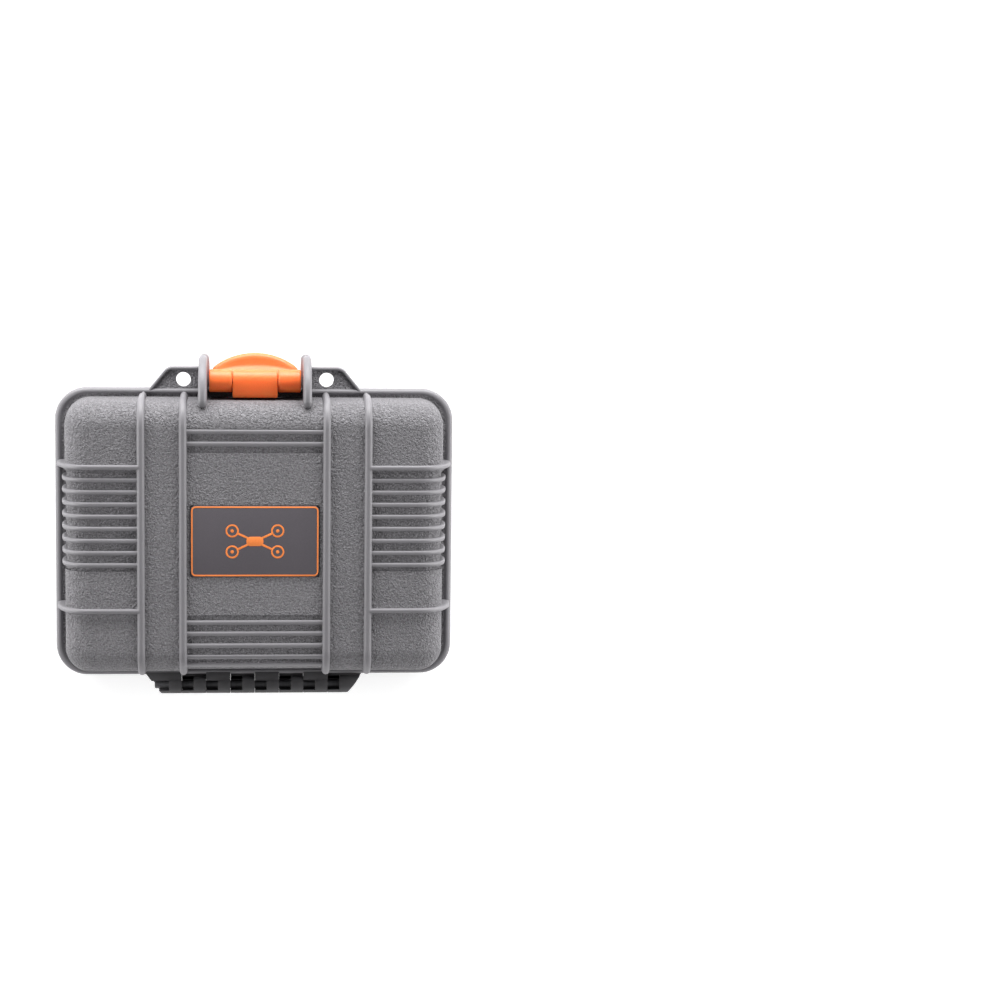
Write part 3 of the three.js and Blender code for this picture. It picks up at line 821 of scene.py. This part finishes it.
def add_plates(build, up, height, back_y, inner_x):
    outline = plate_outline(height, back_y)
    verts, faces = rounded_slab(outline, inner_x, PLATE_X[1], (PLATE_X[1] - inner_x) * 0.48)
    if up < 0:
        verts = [(x, y, -z) for x, y, z in verts]
        faces = [tuple(reversed(f)) for f in faces]
    build.add_pair((verts, faces), 1)


def knuckle(low, high, up):
    """Covers the pin from above over one half and from below over the other, between two side bars."""
    y, r = HINGE_Y, HINGE.radius
    middle = (low + high) / 2
    pieces = []
    for x0, x1, side in ((low, middle + 0.2, 1), (middle - 0.2, high, -1)):
        start = 0 if side > 0 else 180
        outer = arc(y, 0.0, r, start, start + 180, 16)
        inner = arc(y, 0.0, HINGE.pin + 0.2, start + 180, start, 12)
        pieces.append(prism(outer + inner, "x", x0, x1, 0.3, (), 2))
    for side in (-1, 1):
        for half in (-1, 1):
            x0, x1 = low, high
            if side < 0 and half != up:
                x0, x1 = (low, middle) if half > 0 else (middle, high)
            pieces.append(knuckle_bar(side, half, x0, x1))
    return pieces


def knuckle_bar(side, half, low, high):
    """A quarter of the knuckle's round, outside its window."""
    y, r, window = HINGE_Y, HINGE.radius, HINGE.window
    outer = arc(y, 0.0, r, 0, math.degrees(math.acos(window / r)), 7)
    outline = [(y + window, 0.0), *outer]
    outline = [(y + side * (a - y), half * b) for a, b in outline]
    if side * half < 0:
        outline.reverse()
    return prism(outline, "x", low, high, 0.25, (), 2)


def slanted(bm, side):
    """Slants the outer end of an end knuckle, longer at the flange than at its free edge."""
    root, tip = HINGE_END.root, HINGE_END.tip
    slope = (root - tip) / (HINGE_Y + HINGE.radius - FLANGE.half_y)
    for vert in bm.verts:
        if side * vert.co.x > HINGE.first - 2.5:
            limit = root - slope * (vert.co.y - FLANGE.half_y)
            vert.co.x += side * (limit - HINGE.first)
    return bm


def add_hinge(build, up):
    last = HINGE.count - 1
    for i in range(HINGE.count):
        if (i % 2 == 0) != (up > 0):
            continue
        high = HINGE.first - HINGE.pitch * i - HINGE.gap
        low = high - HINGE.pitch + 2 * HINGE.gap
        z0, z1 = sorted((up * GAP, up * (FLANGE_Z - 0.1)))
        front, back = FLANGE.half_y - 1.5, HINGE_Y - HINGE.window - 0.4
        leaf = [(front, z0), (back, z0), (back, z1), (front, z1)]
        for bm in (*knuckle(low, high, up), prism(leaf, "x", low, high, 0.25, (), 2)):
            if i in (0, last):
                slanted(bm, 1 if i == 0 else -1)
            # slot 2 paints shade onto the knuckles: the shells' grey darkened as if the lid's shadow lay on
            # it
            build.add(bm, 2)


def make_lid():
    grid = lid_grid()
    top = LID.height

    def proud(face):
        points = [grid.verts[k] for k in face]
        x, y, z = (sum(values) / len(points) for values in zip(*points))
        lift = lid_field(x, y, 0.0 if z > top - 6 else 0.6)
        return lift > 0.12 or (lift > -RECESS + 0.25 and on_fine_rib(x, y))

    build = Build()
    build.add((grid.verts, grid.faces), grid.paint(proud))
    add_ears(build, 1)
    add_plates(build, 1, 32.6, -69.3, PLATE_X[0])
    add_hinge(build, 1)
    make_object("lid_shell", build, "lid", "shell", SHELL_LOOKS)


def on_fine_rib(x, y):
    if abs(x) > RIB_X[1]:
        ribs = FINE_RIBS_SIDE
    elif abs(x) < RIB_X[0]:
        ribs = FINE_RIBS_FRONT + FINE_RIBS_REAR
    else:
        return False
    return any(abs(y - rib) < FINE_RIB_HALF for rib in ribs)


# ---------- base ----------
def scallop_depth(x):
    half, deep = SCALLOP.half, SCALLOP.depth
    if abs(x) >= half:
        return 0.0
    radius = (half ** 2 + deep ** 2) / (2 * deep)
    return math.sqrt(radius ** 2 - x ** 2) - (radius - deep)


def base_field(x, y, depth):
    """Steps in the base: shallow panels on the face, walls that step in between the corners."""
    ax, ay = abs(x), abs(y)
    face = 0.0
    for edge, drop in PANEL_STEPS:
        face -= drop * smooth((ax - edge) / 0.4)
    face *= 1.0 - smooth((depth - 0.35) / 0.2)
    share = smooth((depth - 0.12) / 0.35)
    hx, hy = flat_half(BASE)
    if ax > hx - 0.5 and ay < 60:
        return face - 3.0 * share * smooth((50.5 - ay) / 9.0)
    if ay > hy - 0.5 and ax < 90:
        return face - 1.0 * share * smooth((78.0 - ax) / 4.0)
    return face


def base_slide(x, y):
    """How far the finger scallop pushes the front edge back behind the latch."""
    hx, hy = flat_half(BASE)
    reach = smooth((-y - (hy - 16.0)) / 16.0)
    return scallop_depth(x) * reach


def base_grid():
    hx, hy = flat_half(BASE)
    x_marks = [edge + o for edge, _ in PANEL_STEPS for o in (-0.15, 0.0, 0.2, 0.4, 0.55)]
    x_marks += [25.05, 25.2, 25.35, SCALLOP.half]
    x_marks += [-m for m in x_marks]
    y_marks = [50.5 - 1.5 * k for k in range(7)]
    y_marks += [-m for m in y_marks]
    grid = ShellGrid(BASE, -1, grid_lines(hx, x_marks, 2.4), grid_lines(hy, y_marks, 3.0))
    grid.add_grid(BASE.height, base_field, base_slide)
    for off, z, slope in fillet_rows(BASE, [5.0 * k for k in range(1, 19)]):
        grid.outer_row(off, z, slope, 0.55 * slope / 90, base_field, base_slide)
    shoulder = BASE.height - BASE.fillet

    def claw_slide(x, y):
        back = base_slide(x, y)
        if abs(x) < CLAW_POCKET.half and y < -hy:
            back = max(back, CLAW_POCKET.depth)
        return back

    def wall_row(z, slide):
        share = (shoulder - z) / (shoulder - LEDGE_Z)
        off = BASE.fillet + BASE.draft * share
        grid.outer_row(off, z, 90, 0.55 + 0.45 * share, base_field, slide)

    for z in (28.0, 22.0, 17.0, CLAW_POCKET.z + 0.3):
        wall_row(z, base_slide)
    for z in (CLAW_POCKET.z, 9.0, LEDGE_Z):
        wall_row(z, claw_slide)
    shares = (0.0, 0.45, 0.52, 0.58, 0.66, 0.75, 0.84, 0.91, 0.96, 0.99, 1.0, 1.0, 0.985, 0.96)
    grid.flange_rows(shares, FLANGE_Z - 0.12, claw_slide)
    for inset, z in ((2.4, GAP), (2.4, GAP + 1.9), (4.8, GAP + 1.9), (4.8, GAP)):
        grid.inset_row(inset, z)
    grid.inner_rows(clear_front=BOSS)
    return grid


def add_feet(build):
    bottom = -BASE_HEIGHT
    top = bottom + FOOT.height + 0.9
    x, count = FOOT_ROWS.x, FOOT_ROWS.count
    for i in range(count):
        y = FOOT_ROWS.y + FOOT_ROWS.pitch * (i - (count - 1) / 2)
        outline = rounded_rect(FOOT.width, FOOT.depth, 0.9, x, y, 4)
        slot = rounded_rect(FOOT.slot_x, FOOT.slot_y, 1.2, x, y, 4)
        build.add_pair(prism(outline, "z", bottom, top, 0.35, [slot], 2), 1)


def add_gussets(build):
    """Small webs between the base wall and the underside of the flange."""
    top = 0.5 - FLANGE_Z
    web = [(0.0, top), (-1.8, top - 1.5), (-5.2, top - 13.5), (-6.6, top)]
    for x, side in ((39.0, -1), (39.0, 1), (63.0, -1)):
        edge = side * (FLANGE.half_y - 0.9)
        outline = [(edge + side * a, b) for a, b in web]
        if side > 0:
            outline.reverse()
        build.add_pair(prism(outline, "x", x - 1.1, x + 1.1, 0.5, (), 3), 1)
    for y in (-LONG_RIB_Y, LONG_RIB_Y):
        edge = FLANGE.half_x - 0.9
        outline = [(b, edge + a * 1.25) for a, b in web]
        build.add_pair(prism(outline, "y", y - 1.1, y + 1.1, 0.5, (), 3), 1)


def make_base():
    grid = base_grid()
    build = Build()
    build.add((grid.verts, grid.faces), grid.paint(lambda face: False))
    add_ears(build, -1)
    add_plates(build, -1, 36.0, -72.0, PLATE_X[0] - 0.7)
    add_hinge(build, -1)
    add_feet(build)
    add_gussets(build)
    make_object("base_shell", build, "base", "shell", SHELL_LOOKS)


# ---------- seal and pins ----------
def ring_sweep(profile, inset, steps=16):
    """Sweeps a closed (outward, height) profile round the flange's outline, moved in by `inset`."""
    half_x, half_y = FLANGE.half_x - inset, FLANGE.half_y - inset
    radius = FLANGE.radius - inset
    stations = []
    for cx, cy, start in ((1, 1, 0), (-1, 1, 90), (-1, -1, 180), (1, -1, 270)):
        for k in range(steps + 1):
            angle = math.radians(start + 90 * k / steps)
            corner = (cx * (half_x - radius), cy * (half_y - radius))
            stations.append((*corner, math.cos(angle), math.sin(angle)))
    verts = []
    for cx, cy, dx, dy in stations:
        for out, z in profile:
            verts.append((cx + dx * (radius + out), cy + dy * (radius + out), z))
    rows = numbered(len(stations), len(profile))
    return verts, skin([rows[0], *reversed(rows)], caps=False)


def make_seal():
    low, high = -GAP - 1.6, 0.4
    middle = (low + high) / 2
    profile = [(1.0 * math.cos(t), middle + (high - low) / 2 * math.sin(t))
               for t in [math.radians(30 * k) for k in range(12)]]
    make_object("seal_ring", Build(ring_sweep(profile, 3.6)), "base", "seal")


def make_pins():
    pin = rod(HINGE_Y, 0.0, HINGE.pin, -HINGE.first + 0.6, HINGE.first + 1.5, 36, 0.8)
    make_object("hinge_pin", Build(pin), "base", "steel")
    pin = rod(LINK_AXIS.y, LINK_AXIS.z, 1.2, -PLATE_X[1] + 0.4, PLATE_X[1] - 0.4, 28, 0.3)
    make_object("link_pin", Build(pin), "lid", "steel")
    pin = rod(LEVER_AXIS.y, LEVER_AXIS.z, 1.5, -24.0, 24.0, 28, 0.3)
    make_object("lever_pin", Build(pin), "lever", "steel")


# ---------- latch ----------
def make_link():
    """Round over the lever pin, flat on top up to the lid, rounded down to its own pin."""
    y, z = LEVER_AXIS.y, LEVER_AXIS.z
    top = z + BARREL
    inner = -74.0
    outline = arc(y, z, BARREL, 90, 262, 22)
    outline += [(LINK_AXIS.y - 3.0, LINK_AXIS.z - 1.9)]
    outline += arc(LINK_AXIS.y, LINK_AXIS.z, 2.7, 235, 350, 8)
    outline += [(inner, LINK_AXIS.z + 2.0), (inner, top - 1.6), (inner - 0.5, top - 0.45), (inner - 1.6, top)]
    block = prism(outline, "x", -LINK_HALF, LINK_HALF, 0.8, (), 4)
    make_object("latch_link", Build(block), "link", "latch", sharp=50.0)


def arch_y(x):
    """The front edge of the pull tab in plan."""
    rise = ARCH.end - ARCH.tip
    radius = (LEVER_HALF ** 2 + rise ** 2) / (2 * rise)
    past = min(1.0, max(0.0, (abs(x) - BLADE_HALF) / ARCH.corner + 1.0))
    corner = ARCH.corner * (1.0 - math.sqrt(1.0 - past ** 2))
    return ARCH.tip + radius - math.sqrt(max(radius ** 2 - x ** 2, 0.0)) + corner


def blade_section(x):
    """The pull tab cut across at x, as (y, z): the top and its arch, the lip under it, the claw behind."""
    front = arch_y(x)
    spread = front - ARCH.tip
    lip_end = front + LIP.width
    if abs(x) > LIP.side:
        lip_end = max(lip_end, LIP.end)
    low = LIP.z
    top = [(-80.2, 4.6), (-84.5, 4.4), (-87.0, 2.8)]
    for y, z, share in ((-89.4, -1.2, 0.45), (-91.4, -1.8, 0.7), (-93.4, -2.2, 0.9), (-95.0, -2.6, 1.0)):
        top.append((y + spread * share, z))
    nose = [(0.6, -3.3), (0.15, -4.3), (0.0, -5.6), (0.0, -7.4), (0.3, low + 0.4), (0.9, low)]
    top += [(front + dy, z) for dy, z in nose]
    under = [(lip_end - 0.4, low), (lip_end, low + 0.4), (lip_end + 0.15, -6.4), (lip_end + 0.7, -5.7)]
    reach = -74.0 - under[-1][0]
    under += [(under[-1][0] + reach * t, -5.7 - 2.3 * t ** 1.5) for t in (0.2, 0.4, 0.6, 0.8, 1.0)]
    claw = [(-72.2, -7.9), (-71.5, -7.2), (-71.3, -6.2), (-71.6, -5.2), (-72.4, -4.7), (-75.5, -4.5)]
    back = [(-78.3, -4.4), (-78.9, -3.8), (-79.1, -2.0), (-79.1, 2.4), (-79.4, 4.0)]
    return top + under + claw + back


def blade_mesh():
    ends = [0.0, 0.15, 0.45, 0.9, 1.4, 2.0, 2.6]
    stations = [-BLADE_HALF + e for e in ends] + [-LIP.side - 0.3, -LIP.side]
    inner = LIP.side - 0.3
    stations += [-inner + 2 * inner * k / 48 for k in range(49)]
    stations += [LIP.side, LIP.side + 0.3] + [BLADE_HALF - e for e in reversed(ends)]
    insets = {0: 0.8, 1: 0.42, 2: 0.12}
    centre = (-83.0, -2.0)
    verts = []
    count = len(stations)
    for s, x in enumerate(stations):
        inset = insets.get(min(s, count - 1 - s), 0.0)
        for y, z in blade_section(x):
            dy, dz = y - centre[0], z - centre[1]
            length = math.hypot(dy, dz)
            verts.append((x, y - dy / length * inset, z - dz / length * inset))
    return verts, skin(numbered(count, len(verts) // count))


def make_lever():
    """The pull tab with its lip and claw, and the two outer barrels."""
    build = Build(blade_mesh())
    y, z = LEVER_AXIS.y, LEVER_AXIS.z
    for side in (-1, 1):
        x0, x1 = sorted((side * 12.3, side * LEVER_HALF))
        barrel = arc(y, z, BARREL, -30, 210, 26)
        outline = barrel + [(-88.2, 3.6), (-79.3, 3.2), (-79.0, 6.6)]
        build.add(prism(outline, "x", x0, x1, 0.7, (), 4))
    make_object("latch_lever", build, "lever", "latch", sharp=50.0)


# ---------- label ----------
def make_label():
    """The plate in its pocket, a printed line near its edge, and a plain quadcopter sign."""
    bottom = LID.height - LABEL.pocket + 0.1
    top = LID.height + 0.6
    width, depth, radius, y0 = LABEL.width, LABEL.depth, LABEL.radius, LABEL.y
    plate = prism(rounded_rect(width, depth, radius, 0, y0, 10), "z", bottom, top, 0.2, (), 3)
    make_object("label_plate", Build(plate), "lid", "label")

    low, high = top - 0.02, top + 0.09
    outer = rounded_rect(width - 0.5, depth - 0.5, radius - 0.25, 0, y0, 10)
    inner = rounded_rect(width - 2.1, depth - 2.1, radius - 1.0, 0, y0, 10)
    line = prism(outer, "z", low, high, 0.04, [inner], 2)
    make_object("label_border", Build(line), "lid", "print")

    # rotor rings at the ends of crossed arms
    build = Build(prism(rounded_rect(9, 5, 2.2, 0, y0, 8), "z", low, high + 0.02, 0.04, (), 2))
    for sx in (-1, 1):
        for sy in (-1, 1):
            tip = (sx * 12.0, y0 + sy * 5.6)
            build.add(prism(circle(*tip, 3.5, 40), "z", low, high, 0.04, [circle(*tip, 2.6, 40)], 2))
            build.add(prism(circle(*tip, 0.9, 24), "z", low, high + 0.02, 0.04, (), 2))
            dx, dy = tip[0], tip[1] - y0
            length = math.hypot(dx, dy)
            ux, uy = dx / length, dy / length
            start, end, half = 2.5, length - 3.4, 0.55
            corners = ((start, -half), (end, -half), (end, half), (start, half))
            arm = [(ux * along - uy * side, y0 + uy * along + ux * side) for along, side in corners]
            build.add(prism(arm, "z", low, high, 0.04, (), 2))
    make_object("label_emblem", build, "lid", "print")


# ---------- foam ----------
def squared_off(u, v, half_x, half_y, radius):
    """Maps a square grid point onto a rectangle with round corners."""
    x, y = u * half_x, v * half_y
    cx, cy = half_x - radius, half_y - radius
    dx, dy = abs(x) - cx, abs(y) - cy
    if dx > 0 and dy > 0:
        scale = max(dx, dy) / math.hypot(dx, dy)
        x = math.copysign(cx + dx * scale, x)
        y = math.copysign(cy + dy * scale, y)
    return x, y


def make_foam(node, build, body, sharp):
    make_object(node, build, body, "foam", sharp=sharp)


def make_lid_foam():
    """Convoluted foam: a flat back against the lid, soft peaks facing down."""
    low, high = local_box("lid_foam")
    nx, ny = 132, 92
    peak, pitch = 5.2, 15.5
    fillet = LID.fillet - LID.wall - 0.6

    def place(i, j, inset):
        half_x, half_y = (high.x - low.x) / 2 - inset, (high.y - low.y) / 2 - inset
        return squared_off(2 * i / nx - 1, 2 * j / ny - 1, half_x, half_y, 10.0)

    verts, faces = [], []
    for j in range(ny + 1):
        for i in range(nx + 1):
            x, y = place(i, j, 0.4)
            edge = min(1.0, (1 - max(abs(2 * i / nx - 1), abs(2 * j / ny - 1))) * 12)
            wave = math.sin(math.pi * x / pitch) * math.sin(math.pi * y / pitch)
            verts.append((x, y, low.z + 0.2 + peak - peak * (0.5 + 0.5 * wave) * smooth(edge)))
    width = nx + 1
    for j in range(ny):
        for i in range(nx):
            a = j * width + i
            faces.append((a, a + width, a + width + 1, a + 1))
    rim = [(i, 0) for i in range(nx)] + [(nx, j) for j in range(ny)]
    rim += [(i, ny) for i in range(nx, 0, -1)] + [(0, j) for j in range(ny, 0, -1)]
    rows = [[j * width + i for i, j in rim]]
    for z in [low.z + (high.z - low.z) * level for level in (0.45, 0.62, 0.75, 0.85, 0.93)] + [high.z - 0.1]:
        rise = z - (high.z - fillet)
        inset = 0.0 if rise <= 0 else fillet - math.sqrt(max(fillet ** 2 - rise ** 2, 0.0))
        rows.append([len(verts) + k for k in range(len(rim))])
        verts += [(*place(i, j, inset), z) for i, j in rim]
    faces += skin(rows, caps=False) + [tuple(rows[-1])]
    make_foam("lid_foam", Build((verts, faces)), "lid", 60.0)


def foam_outline(half_x, half_y, radius, steps=10):
    """Round corners, and a notch in the front edge for the thicker wall behind the latch."""
    a, b = half_x - radius, half_y - radius
    points = arc(a, b, radius, 0, 90, steps) + arc(-a, b, radius, 90, 180, steps)
    points += arc(-a, -b, radius, 180, 270, steps)
    points += [(-32.2, -half_y), (-32.0, -62.6), (32.0, -62.6), (32.2, -half_y)]
    points += arc(a, -b, radius, 270, 360, steps)
    return points


def make_base_foam():
    """The cut tray, narrower near the bottom where the shell is rounded, and the sheet under it."""
    low, high = local_box("base_foam_tray")
    half_x = min(-low.x, high.x)
    holes = [rounded_rect(w, d, r, x, y, 8) for x, y, w, d, r in POCKETS]
    upper = foam_outline(half_x - 0.4, high.y - 0.4, 10.0)
    lower = foam_outline(half_x - 2.6, high.y - 2.6, 8.0)
    tray = Build(prism(upper, "z", low.z + 8.6, high.z, 0.9, holes, 3),
                 prism(lower, "z", low.z + 0.1, low.z + 9.2, 0.6, holes, 2))
    make_foam("base_foam_tray", tray, "base", 50.0)

    low, high = local_box("base_foam_floor")
    sheet = prism(foam_outline(high.x - 3.2, high.y - 3.2, 8.0), "z", low.z, high.z, 1.6, (), 4)
    make_foam("base_foam_floor", Build(sheet), "base", 50.0)


# ---------- studio ----------
def make_floor():
    bpy.ops.mesh.primitive_plane_add(size=40.0, location=(0, 0, STANDING_Z - 0.0002))
    floor = bpy.context.object
    floor.name = "studio_floor"
    mat, tree, shader = new_material("studio_floor")
    shader.inputs["Base Color"].default_value = (0.93, 0.93, 0.93, 1)
    shader.inputs["Roughness"].default_value = 0.9
    shader.inputs["Emission Color"].default_value = (1, 1, 1, 1)
    shader.inputs["Emission Strength"].default_value = 0.32
    floor.data.materials.append(mat)


def area_light(name, place, aim, size, power):
    data = bpy.data.lights.new(name, "AREA")
    data.shape = "RECTANGLE"
    data.size, data.size_y = size
    data.energy = power
    lamp = bpy.data.objects.new(name, data)
    lamp.location = place
    lamp.rotation_euler = (Vector(aim) - Vector(place)).to_track_quat("-Z", "Y").to_euler()
    bpy.context.scene.collection.objects.link(lamp)


def make_studio():
    make_floor()
    bpy.context.scene.view_settings.view_transform = "Standard"
    world = bpy.data.worlds.new("studio")
    world.use_nodes = True
    background = world.node_tree.nodes["Background"]
    background.inputs["Color"].default_value = (1, 1, 1, 1)
    background.inputs["Strength"].default_value = 0.25
    bpy.context.scene.world = world
    area_light("key_front", (0.0, -1.25, 0.27), (0, 0, 0.05), (1.8, 0.5), 45)
    for name, x in (("side_a", 1.25), ("side_b", -1.25)):
        area_light(name, (x, -0.10, 0.21), (0, 0, 0.05), (0.4, 1.4), 27)
    area_light("rear", (0.0, 1.30, 0.22), (0, 0, 0.03), (1.8, 0.4), 8)


CAMERA_DISTANCE = 1.4
CAMERA_TILT = 7.4  # degrees from straight above the lid towards the latch
CAMERA_LENS = 92.35
ASIDE_X = 0.1335  # the case stands this far left of the middle of the view
ASIDE_Y = 0.0173  # and this far below it


def make_camera():
    centre = Vector((0.0, CENTRE_Y, PARTING_Z))
    tilt = math.radians(CAMERA_TILT)
    place = centre + Vector((0, -math.sin(tilt), math.cos(tilt))) * CAMERA_DISTANCE
    aim = centre + Vector((-ASIDE_X, -ASIDE_Y, 0))
    data = bpy.data.cameras.new("camera")
    data.lens = CAMERA_LENS
    data.sensor_width = 36.0
    data.clip_end = 20.0
    camera = bpy.data.objects.new("camera", data)
    camera.location = place
    forward = (aim - place).normalized()
    # turned so that the case's long side lies level in the picture
    right = forward.cross((centre - place).cross(Vector((1, 0, 0)))).normalized()
    if right.x > 0:
        right.negate()
    up = right.cross(forward)
    camera.rotation_euler = Matrix((right, up, -forward)).transposed().to_euler()
    bpy.context.scene.collection.objects.link(camera)
    bpy.context.scene.camera = camera


make_camera()
make_studio()
make_lid()
make_base()
make_seal()
make_pins()
make_link()
make_lever()
make_label()
make_lid_foam()
make_base_foam()

bpy.context.view_layer.update()
